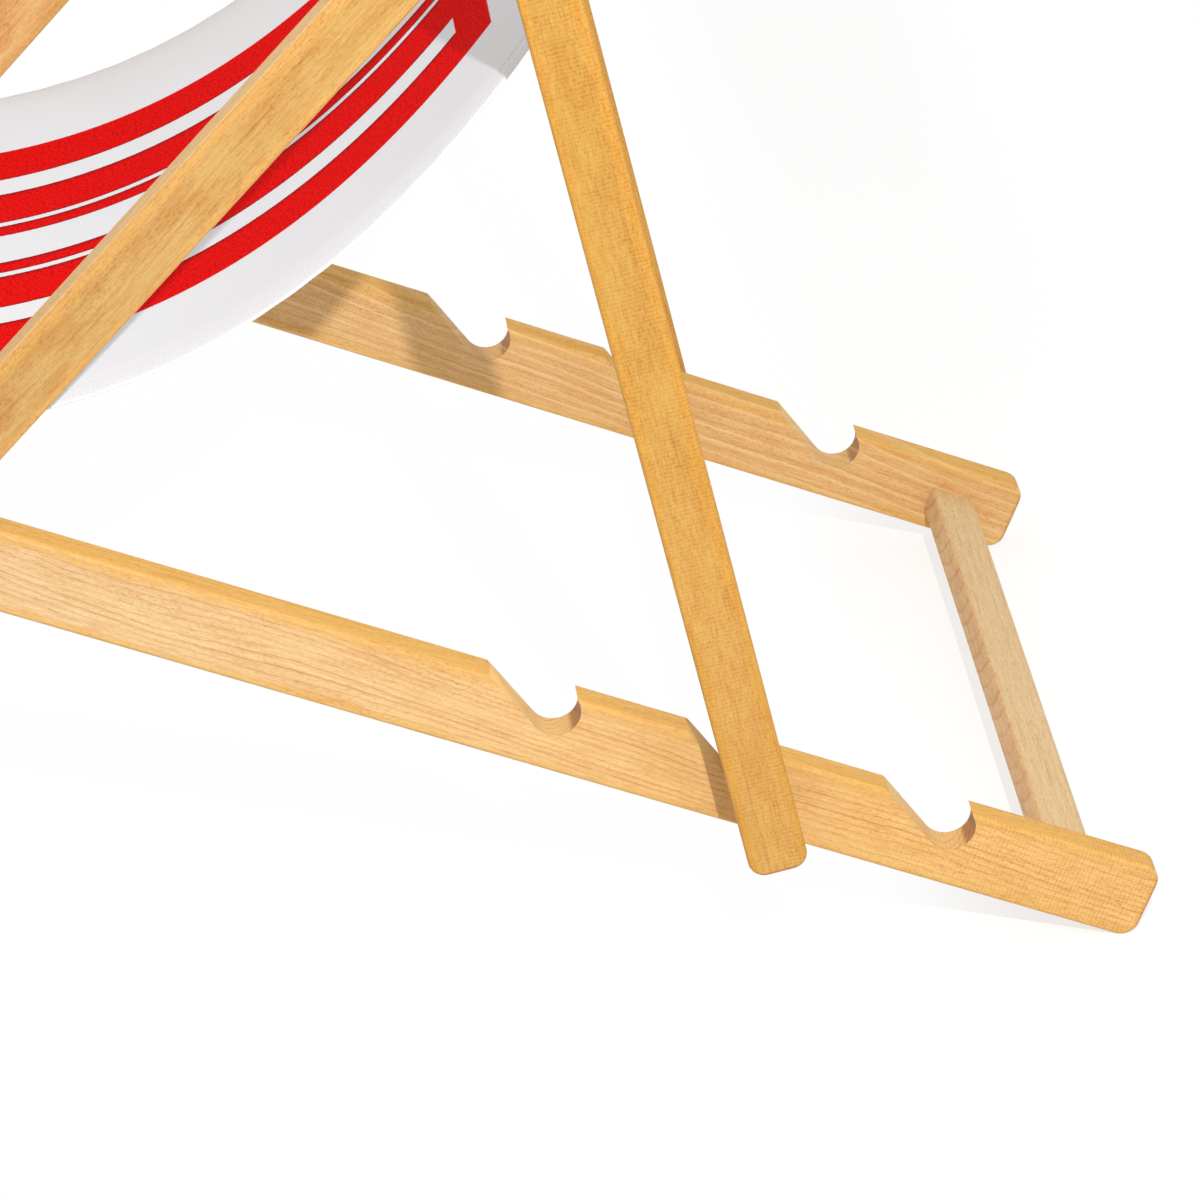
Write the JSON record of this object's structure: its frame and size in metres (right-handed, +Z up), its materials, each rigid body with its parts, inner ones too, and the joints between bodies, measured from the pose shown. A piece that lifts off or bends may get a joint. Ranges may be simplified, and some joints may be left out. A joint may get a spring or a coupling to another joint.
{
  "type": "folding deck chair",
  "caption": "Folding timber deck chair with a hanging canvas sling, crossed frames and a prop strut that rests in notches.",
  "frame": {"origin": "centre of the bounding box at the floor, under the middle of the chair", "axes": "+X across the chair to the sitter's left, +Y to the rear, -Y the way the sitter faces, +Z up"},
  "size_m": [0.5892, 0.9646, 0.9495],
  "materials": {
    "timber": "honey beech under a satin varnish",
    "crossbar_timber": "paler beech under a satin varnish",
    "canvas": "plain woven cotton canvas, white with a red panel",
    "steel": "bright zinc plate"
  },
  "bodies": {
    "seat_frame": {"seat_rail_left": "timber", "seat_rail_right": "timber", "seat_rear_crossbar": "crossbar_timber", "seat_front_bar": "timber", "sling": "canvas", "seat_pivot_bolt_left": "steel", "seat_pivot_bolt_right": "steel", "seat_pivot_spacer_left": "steel", "seat_pivot_spacer_right": "steel", "seat_pivot_washer_left": "steel", "seat_pivot_washer_right": "steel", "seat_pivot_nut_left": "steel", "seat_pivot_nut_right": "steel"},
    "back_frame": {"back_rail_left": "timber", "back_rail_right": "timber", "back_top_bar": "timber", "back_foot_crossbar": "crossbar_timber"},
    "strut": {"strut_leg_left": "timber", "strut_leg_right": "timber", "strut_dowel": "timber", "strut_pivot_bolt_left": "steel", "strut_pivot_bolt_right": "steel", "strut_pivot_spacer_left": "steel", "strut_pivot_spacer_right": "steel", "strut_pivot_washer_left": "steel", "strut_pivot_washer_right": "steel", "strut_pivot_cap_nut_left": "steel", "strut_pivot_cap_nut_right": "steel"}
  },
  "joints": [
    {"name": "frame_fold", "type": "hinge", "parent": "seat_frame", "child": "back_frame", "pos_m": [0, -0.19893, 0.2773], "axis": [-1, 0, 0], "range_deg": [-13.7, 68.5], "deforming": ["sling"]},
    {"name": "strut_swing", "type": "hinge", "parent": "back_frame", "child": "strut", "pos_m": [0, 0.13148, 0.64427], "axis": [-1, 0, 0], "range_deg": [-51.1, 51.1]}
  ]
}
